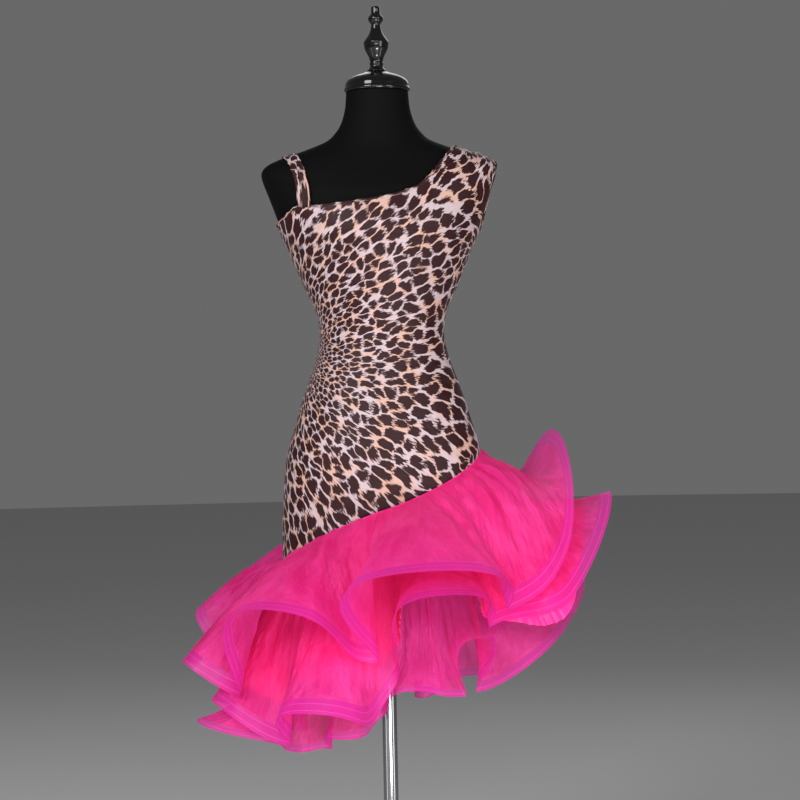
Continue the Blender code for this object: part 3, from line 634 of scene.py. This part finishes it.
MIDDLE_HEM = np.array((
    (-76, 0.305, 0.432, 0.070, 0.070, 0.0, 0.01), (-42, 0.245, 0.370, 0.060, 0.035, 0.0, 0.01),
    (-24, 0.304, 0.434, 0.130, 0.130, 0.0, 0.01), (3, 0.205, 0.465, 0.120, 0.060, 1.5, 0.01),
    (18, 0.320, 0.620, 0.165, 0.140, 0.0, 0.01), (37, 0.280, 0.562, 0.035, 0.060, 0.4, 0.01),
    (58, 0.363, 0.612, 0.080, 0.080, 0.6, 0.01), (91, 0.385, 0.762, 0.060, 0.060, 0.5, -0.01),
    (122, 0.225, 0.615, 0.035, 0.035, -0.2, 0.0), (143, 0.300, 0.640, 0.110, 0.110, 0.0, 0.01),
    (161, 0.205, 0.520, 0.050, 0.050, 0.0, 0.01), (180, 0.315, 0.570, 0.125, 0.125, 0.0, 0.01),
    (198, 0.210, 0.465, 0.050, 0.050, 0.0, 0.01), (217, 0.315, 0.510, 0.125, 0.125, 0.0, 0.01),
    (234, 0.210, 0.420, 0.045, 0.045, 0.0, 0.01), (250, 0.310, 0.450, 0.090, 0.090, 0.0, 0.01),
    (265, 0.235, 0.405, 0.035, 0.035, 0.0, 0.01),
))
LOWER_HEM = np.array((
    (-77, 0.330, 0.400, 0.055, 0.055, -0.2, -0.035), (-56, 0.225, 0.366, 0.050, 0.040, 0.0, -0.035),
    (-43, 0.228, 0.358, 0.040, 0.040, 0.0, -0.035), (-31, 0.195, 0.362, 0.030, 0.035, 0.0, -0.035),
    (-19, 0.245, 0.386, 0.060, 0.060, 0.0, -0.035), (-5, 0.155, 0.408, 0.035, 0.035, 0.8, -0.035),
    (10, 0.212, 0.458, 0.050, 0.050, 0.0, -0.035), (32, 0.232, 0.447, 0.060, 0.022, 0.0, -0.035),
    (31, 0.302, 0.550, 0.100, 0.070, 0.0, -0.050), (34.5, 0.254, 0.455, 0.022, 0.045, 0.0, -0.035),
    (63, 0.325, 0.546, 0.080, 0.080, 0.5, -0.035), (92, 0.335, 0.625, 0.070, 0.070, 0.3, -0.035),
    (122, 0.190, 0.500, 0.035, 0.035, -0.1, -0.035), (143, 0.265, 0.432, 0.080, 0.080, 0.0, -0.035),
    (161, 0.170, 0.400, 0.040, 0.040, 0.0, -0.035), (180, 0.270, 0.415, 0.090, 0.090, 0.0, -0.035),
    (198, 0.175, 0.390, 0.040, 0.040, 0.0, -0.035), (217, 0.275, 0.405, 0.090, 0.090, 0.0, -0.035),
    (234, 0.180, 0.355, 0.040, 0.040, 0.0, -0.035), (252, 0.285, 0.375, 0.070, 0.070, 0.0, -0.035),
    (266, 0.205, 0.355, 0.035, 0.035, 0.0, -0.035),
))


class Flounce:
    """A circular flounce. u counts the bends of its hem round the body, v is 0 where sewn, 1 at the hem."""

    def __init__(self, hem, drop, fold_power, creases, gathers, phase):
        self.creases, self.gathers, self.phase = creases, gathers, phase
        turn, reach, height, before, after, climb, self.arches = hem.T
        turn = np.radians(turn)
        self.drop, self.fold_power, self.bends = drop, fold_power, len(hem)
        self.bend_places = np.stack((reach * np.sin(turn), -reach * np.cos(turn), height), axis=-1)
        heading = unit(np.stack((np.cos(turn), np.sin(turn), climb), axis=-1))
        self.arrivals, self.leavings = heading * before[:, None], heading * after[:, None]
        fine = np.arange(0, self.bends, 0.1)
        line = self.hem(fine)
        turns = np.unwrap(np.arctan2(line[:, 0], -line[:, 1]))
        width = 32    # the mean flare is averaged over 3.2 bends each way
        weights = np.hanning(2 * width + 1)

        def averaged(values):
            return np.convolve(np.concatenate((values[-width:], values, values[:width])),
                               weights / weights.sum(), "valid")

        self.fine = fine
        self.mean_drift = averaged(turns - fine * math.tau / self.bends)
        self.mean_reach = averaged(np.hypot(line[:, 0], line[:, 1]))
        self.mean_height = averaged(line[:, 2])

    def hem(self, u):
        """Points of the hem, on cubic curves from bend to bend."""
        first = np.floor(u).astype(int)
        share = (u - first)[..., None]
        start, end = self.bend_places[first % self.bends], self.bend_places[(first + 1) % self.bends]
        leave, arrive = self.leavings[first % self.bends], self.arrivals[(first + 1) % self.bends]
        return on_cubic(start, end, 3 * leave, 3 * arrive, share)

    def mean(self, values, u):
        return np.interp(u % self.bends, self.fine, values, period=self.bends)

    def turn(self, u):
        """Mean turn round the body, in degrees."""
        return np.degrees(self.mean(self.mean_drift, u) + math.tau * u / self.bends)

    def cloth(self, u, v):
        """Points of the smooth cloth."""
        turn = self.turn(u)
        angle, reach = np.radians(turn), self.mean(self.mean_reach, u)
        height = self.mean(self.mean_height, u)
        flare = np.stack((reach * np.sin(angle), -reach * np.cos(angle), height), axis=-1)
        sewn = off_body(turn, row_at_height(seam_height(turn) - self.drop), np.full_like(u, FLOUNCE_SEAT))
        first = np.floor(u).astype(int)
        arch = self.arches[first % self.bends]
        arch = arch + (self.arches[(first + 1) % self.bends] - arch) * ease(u - first)
        folded = np.maximum(v, 0.0) ** self.fold_power
        points = sewn + (flare - sewn) * v[..., None] + (self.hem(u) - flare) * folded[..., None]
        points[..., 2] += arch * np.sin(math.pi * np.clip(v, 0.0, 1.0))
        return points

    def facing(self, u, v):
        """Unit normals of the smooth cloth, out of the skirt."""
        sideways = self.cloth(u + 0.01, v) - self.cloth(u - 0.01, v)
        upward = self.cloth(u, v - 0.01) - self.cloth(u, v + 0.01)
        return unit(np.cross(sideways, upward))

    def creased(self, u, v):
        """The cloth with fine gathers under the seam, slack waves and longer creases."""
        phase = self.phase
        slack = np.sin(math.pi * np.clip(v, 0.0, 1.0))
        level = (GATHER_DEPTH * uneven_wave(u, self.gathers, phase) * np.exp(-((v - 0.10) / 0.26) ** 2)
                 + BROAD_WAVE * slack ** 0.8 * uneven_wave(u + 0.15 * v, 1.7, phase + 1.0)
                 + BROKEN_WAVE * slack * (uneven_wave(u - 0.5 * v, 3.9, phase + 2.0)
                                          * uneven_wave(v + 0.1 * u, 1.9, phase))
                 + FINE_WAVE * slack * uneven_wave(u + 0.8 * v, 8.3, phase + 3.0))
        for bend, start, end, half, depth, lean in self.creases:
            away = (u - bend - lean * (v - start) + self.bends / 2) % self.bends - self.bends / 2
            run = np.clip((v - start) / (end - start), 0.0, 1.0)
            level += depth * np.exp(-(away / half) ** 2) * np.sin(math.pi * run) ** 0.7
        points = self.cloth(u, v) + self.facing(u, v) * (level * (v > SEWN_SHARE))[..., None]
        stray = SEAM_STRAY * np.maximum(uneven_wave(u, 2.1, phase), 0.0)
        points[..., 2] += stray * np.exp(-(v / 0.06) ** 2)
        return points


LEAST_FILL = 0.301        # a gore's area is taken as at least this share of its flat rectangle


def gore(surface, across, along, per_bend, rows, name, finish, node):
    """A gore of a flounce or of its braid, with its real width and length on its points, in metres."""
    columns = int((across[1] - across[0]) * per_bend)
    shape = laid_grid(surface, across, along, columns, rows)
    grid = np.array([vert.co for vert in shape.verts]).reshape(rows + 1, columns + 1, 3)
    side_steps = np.linalg.norm(np.diff(grid, axis=1), axis=-1)
    up_steps = np.linalg.norm(np.diff(grid, axis=0), axis=-1)
    along_hem = np.concatenate(([0.0], np.cumsum(side_steps[0])))
    depth = np.concatenate(([0.0], np.cumsum(up_steps.mean(axis=1))))
    layer = shape.verts.layers.float_vector.new("yarn")
    for vert, place in zip(shape.verts, np.ndindex(rows + 1, columns + 1)):
        vert[layer] = (along_hem[place[1]], depth[place[0]], 0.0)
    width, length = along_hem[-1], up_steps.sum(axis=0).max()
    area = np.clip(sum(face.calc_area() for face in shape.faces), LEAST_FILL * width * length, width * length)
    made = show(name, shape, finish, [node])


organza = Finish("pink_organza", roughness=0.42, sheen_weight=0.16, sheen_roughness=0.3,
                 sheen_tint=(1.0, 0.30, 0.55), specular_ior_level=0.28)
yarn = organza.laid("yarn")
cloudy = organza.noise(organza.place(), 9.0, 3.0, 0.55)
crumple = organza.noise(organza.stretched(yarn, (27.0, 17.0, 0.0)), 1.0, 4.0, 0.55)
fine_crumple = organza.noise(organza.stretched(yarn, (110.0, 60.0, 0.0)), 1.0, 3.0, 0.6)
weave = organza.ribs(yarn, 320.0, "X", 0.4) + organza.ribs(yarn, 320.0, "Y", 0.4)
# The colour differs at random over broad clouds. It is also painted lighter on the crests of the crumples and
# darker in their hollows: painted highlight and painted shade on the crumples that the bump raises.
cloudy_tone_and_crumple_shade = cloudy.step(0.35, 0.65) * 0.6 + crumple.step(0.38, 0.62) * 0.4
organza.set(base_color=organza.mix(cloudy_tone_and_crumple_shade, (0.76, 0.016, 0.24), (1.00, 0.070, 0.43)),
            roughness=0.36 + crumple * 0.16, alpha=0.70 + fine_crumple * 0.18)
organza.bump(crumple + fine_crumple * 0.20 + weave * 0.010, 1.0, 0.012)
organza.let_light_through((1.0, 0.040, 0.40), 0.43)

braid = Finish("horsehair_braid", roughness=0.36, specular_ior_level=0.25)
BRAID_LINES = 0.011       # from one line of the braid to the next
strand = braid.laid("yarn")
from_edge = braid.node("ShaderNodeSeparateXYZ", {}, {0: strand}, output=1)
lines = from_edge.math("PINGPONG", from_edge, BRAID_LINES / 2) * (2 / BRAID_LINES)
plait = (braid.ribs(strand, 160.0, "DIAGONAL")
         * braid.ribs(braid.stretched(strand, (-1.0, 1.0, 0.0)), 160.0, "DIAGONAL"))
braid.set(base_color=braid.mix(lines.step(0.86, 0.98), (0.73, 0.030, 0.36), (0.86, 0.090, 0.50)),
          alpha=0.70 + lines.step(0.80, 0.98) * 0.16)
braid.bump(lines * 0.5 + plait * 0.5, 0.4, 0.0008)
braid.let_light_through((0.85, 0.035, 0.42), 0.35)

satin = Finish("pink_satin", roughness=0.3, sheen_weight=0.2, sheen_tint=(1.0, 0.5, 0.7),
               specular_ior_level=0.55)
satin_cloud = satin.noise(satin.place(), 14.0, 3.0)
crinkle = satin.noise(satin.place(), 30.0, 3.0, 0.55)
satin.set(base_color=satin.mix(satin_cloud, (0.78, 0.014, 0.20), (0.92, 0.035, 0.30)),
          roughness=0.24 + satin.noise(satin.place(), 60.0, 3.0) * 0.16)
satin.bump(crinkle + satin.noise(satin.place(), 1400.0, 1.0) * 0.04, 0.35, 0.003)


def band_surface(turn, v):
    """The band on the body: v is 0 at its lower edge, 1 at the slanted seam."""
    row = row_at_height(seam_height(turn) - SKIRT_BASE_DROP * (1 - v))
    return off_body(turn, row, np.full_like(turn, CLEARANCE + CLOTH / 2))


for side, turns in (("front", (-90.0, 90.0)), ("back", (90.0, 270.0))):
    band = show("satin_band_" + side, laid_grid(band_surface, turns, (0, 1), 120, 24), satin,
                ["skirt_base_" + side])
    give_wall(band)

# creases columns: bend, start, end, half width in bends, depth, lean in bends
UPPER_CREASES = (
    (3.35, 0.02, 0.55, 0.055, 0.00750, 0.10), (3.62, 0.02, 0.42, 0.040, 0.00525, -0.25),
    (4.05, 0.02, 0.60, 0.060, 0.00450, 0.05), (4.45, 0.02, 0.50, 0.050, 0.00675, 0.00),
    (5.20, 0.02, 0.62, 0.080, 0.00750, 0.10), (5.75, 0.02, 0.55, 0.060, 0.00525, 0.15),
    (6.30, 0.02, 0.60, 0.070, 0.00600, -0.05), (2.30, 0.02, 0.60, 0.060, 0.00600, 0.10),
    (1.40, 0.02, 0.50, 0.050, 0.00525, 0.00), (8.60, 0.02, 0.55, 0.060, 0.00600, 0.10),
    (10.4, 0.02, 0.60, 0.060, 0.00675, -0.10), (12.5, 0.02, 0.55, 0.070, 0.00600, 0.05),
    (14.3, 0.02, 0.60, 0.060, 0.00675, 0.10), (15.6, 0.02, 0.50, 0.050, 0.00525, 0.00),
)
MIDDLE_CREASES = (
    (1.6, 0.05, 0.70, 0.070, 0.00675, 0.10), (3.4, 0.05, 0.60, 0.060, 0.00600, 0.00),
    (5.6, 0.05, 0.65, 0.080, 0.00675, 0.05), (9.5, 0.05, 0.60, 0.060, 0.00600, 0.10),
    (12.4, 0.05, 0.60, 0.060, 0.00600, -0.05), (15.2, 0.05, 0.60, 0.060, 0.00600, 0.05),
)
LOWER_CREASES = (
    (1.5, 0.10, 0.80, 0.080, 0.00600, 0.05), (4.4, 0.10, 0.75, 0.070, 0.00600, 0.00),
    (8.5, 0.10, 0.75, 0.080, 0.00525, 0.05), (12.6, 0.10, 0.75, 0.070, 0.00600, 0.00),
    (16.5, 0.10, 0.75, 0.070, 0.00600, 0.05),
)
# flounce columns: hem, drop under the slanted seam, lateness of its folds, creases, gathers, phase
# tier columns: name, flounce, the bends of its hem where a gore starts
TIERS = (
    ("upper", Flounce(UPPER_HEM, 0.0012, 1.8, UPPER_CREASES, 3.1, 0.4), (1, 5, 8, 12)),
    ("middle", Flounce(MIDDLE_HEM, 0.040, 1.7, MIDDLE_CREASES, 2.7, 1.9), (1, 5, 8, 12)),
    ("lower", Flounce(LOWER_HEM, 0.088, 1.8, LOWER_CREASES, 2.3, 3.3), (1, 7, 12, 16)),
)


def numbered_gores(flounce, starts):
    """The number of each gore, and the bends where it starts and ends."""
    return enumerate(zip(starts, starts[1:] + (starts[0] + flounce.bends,)), start=1)


for tier, flounce, starts in TIERS:
    for number, bends in numbered_gores(flounce, starts):
        gore(flounce.creased, bends, (1 - BRAID_SHARE, 0.0), 36, 64,
             f"{tier}_organza_{number}", organza, f"{tier}_flounce_{number}")
        gore(flounce.creased, bends, (1.0, 1 - BRAID_SHARE), 36, 8,
             f"{tier}_hem_braid_{number}", braid, f"{tier}_braid_{number}")

# A satin flounce lines the middle one. It is shorter, and elastic shirrs its hem.

_, middle, middle_starts = TIERS[1]
SATIN_DROP = 0.058        # from the slanted seam to where it is sewn
SATIN_LENGTH = 0.80       # as a share of the middle flounce's
SATIN_LONGER = 0.27       # where its hem shows under the middle flounce, on one side of the front
SATIN_LONGEST_BEND, SATIN_LONG_BENDS = 5.6, 0.75
SATIN_SET_IN = 0.007      # inside the middle flounce, at its hem
SHIRRING = 0.06           # share of the satin's length that its elastic hem gathers
SHIRR_DEPTH, SATIN_WAVE = 0.0022, 0.003


def satin_cloth(u, v):
    """Points of the satin flounce, from its own sewn line to its shirred hem."""
    turn = middle.turn(u)
    sewn = off_body(turn, row_at_height(seam_height(turn) - SATIN_DROP), np.full_like(u, FLOUNCE_SEAT))
    place = v * (SATIN_LENGTH + SATIN_LONGER * np.exp(-((u - SATIN_LONGEST_BEND) / SATIN_LONG_BENDS) ** 2))
    lift = (sewn - middle.cloth(u, np.zeros_like(u))) * ((1 - v) ** 2)[..., None]
    near_hem = ease(np.clip((v - 1 + 2 * SHIRRING) / (2 * SHIRRING), 0.0, 1.0))
    shirr = (SHIRR_DEPTH * near_hem * uneven_wave(u, 9.0, 0.7)
             + SATIN_WAVE * uneven_wave(u + 0.2 * v, 2.1, 4.0) * v)
    inward = -middle.facing(u, place) * (SATIN_SET_IN * v - shirr)[..., None]
    return middle.cloth(u, place) + inward + lift


for number, bends in numbered_gores(middle, middle_starts):
    gore(satin_cloth, bends, (1.0, 0.0), 60, 48, f"satin_lining_{number}", satin,
         f"satin_flounce_{number}")

# ================================================================ floor, light and camera
floor_shape = bmesh.new()
bmesh.ops.create_circle(floor_shape, cap_ends=True, segments=96, radius=18.0)
floor_mesh = bpy.data.meshes.new("floor")
floor_shape.to_mesh(floor_mesh)
floor_shape.free()
floor = bpy.data.objects.new("floor", floor_mesh)
bpy.context.scene.collection.objects.link(floor)
floor.location.z = -0.0005
floor_finish = Finish("pale_floor", base_color=(0.62, 0.62, 0.63), roughness=0.8, specular_ior_level=0.2)
floor_mesh.materials.append(floor_finish.material)

world = bpy.data.worlds.new("studio")
bpy.context.scene.world = world
world.use_nodes = True
world.node_tree.nodes["Background"].inputs["Color"].default_value = (0.140, 0.140, 0.142, 1.0)
world.node_tree.nodes["Background"].inputs["Strength"].default_value = 1.0

# columns: name, place, aimed at, width, height, power in watts
SOFT_LIGHTS = (
    ("key", (-1.9, -2.9, 2.6), (0, 0, 0.95), 1.4, 1.8, 104),
    ("fill", (2.4, -2.6, 1.5), (0, 0, 0.9), 1.2, 2.0, 40),
    ("front", (0.2, -4.6, 1.9), (0, 0, 0.75), 3.0, 1.6, 92),
    ("rim", (0.6, 2.8, 2.6), (0, 0, 1.0), 2.0, 1.2, 8),
    ("left_strip", (-1.05, -0.62, 0.42), (0, 0, 0.42), 0.16, 0.84, 1.1),
    ("right_strip", (1.05, -0.62, 0.42), (0, 0, 0.42), 0.16, 0.84, 2.2),
    ("low", (0.35, -1.75, 0.10), (0.12, 0, 0.56), 0.7, 0.25, 16),
)
for name, place, aim, width, height, power in SOFT_LIGHTS:
    lamp = bpy.data.lights.new(name, "AREA")
    lamp.shape, lamp.size, lamp.size_y, lamp.energy = "RECTANGLE", width, height, power
    light = bpy.data.objects.new(name, lamp)
    bpy.context.scene.collection.objects.link(light)
    light.location = place
    light.rotation_euler = (Vector(aim) - Vector(place)).to_track_quat("-Z", "Y").to_euler()

bpy.context.scene.view_settings.view_transform = "Standard"

# Level, and turned about its own line of sight by about a degree.
camera_data = bpy.data.cameras.new("camera")
camera_data.sensor_width, camera_data.lens = 36.0, 105.9
camera = bpy.data.objects.new("camera", camera_data)
bpy.context.scene.collection.objects.link(camera)
camera.location = (0.0285, -4.0, 0.928)
camera.rotation_euler = (math.radians(90), math.radians(1.154), 0)
bpy.context.scene.camera = camera
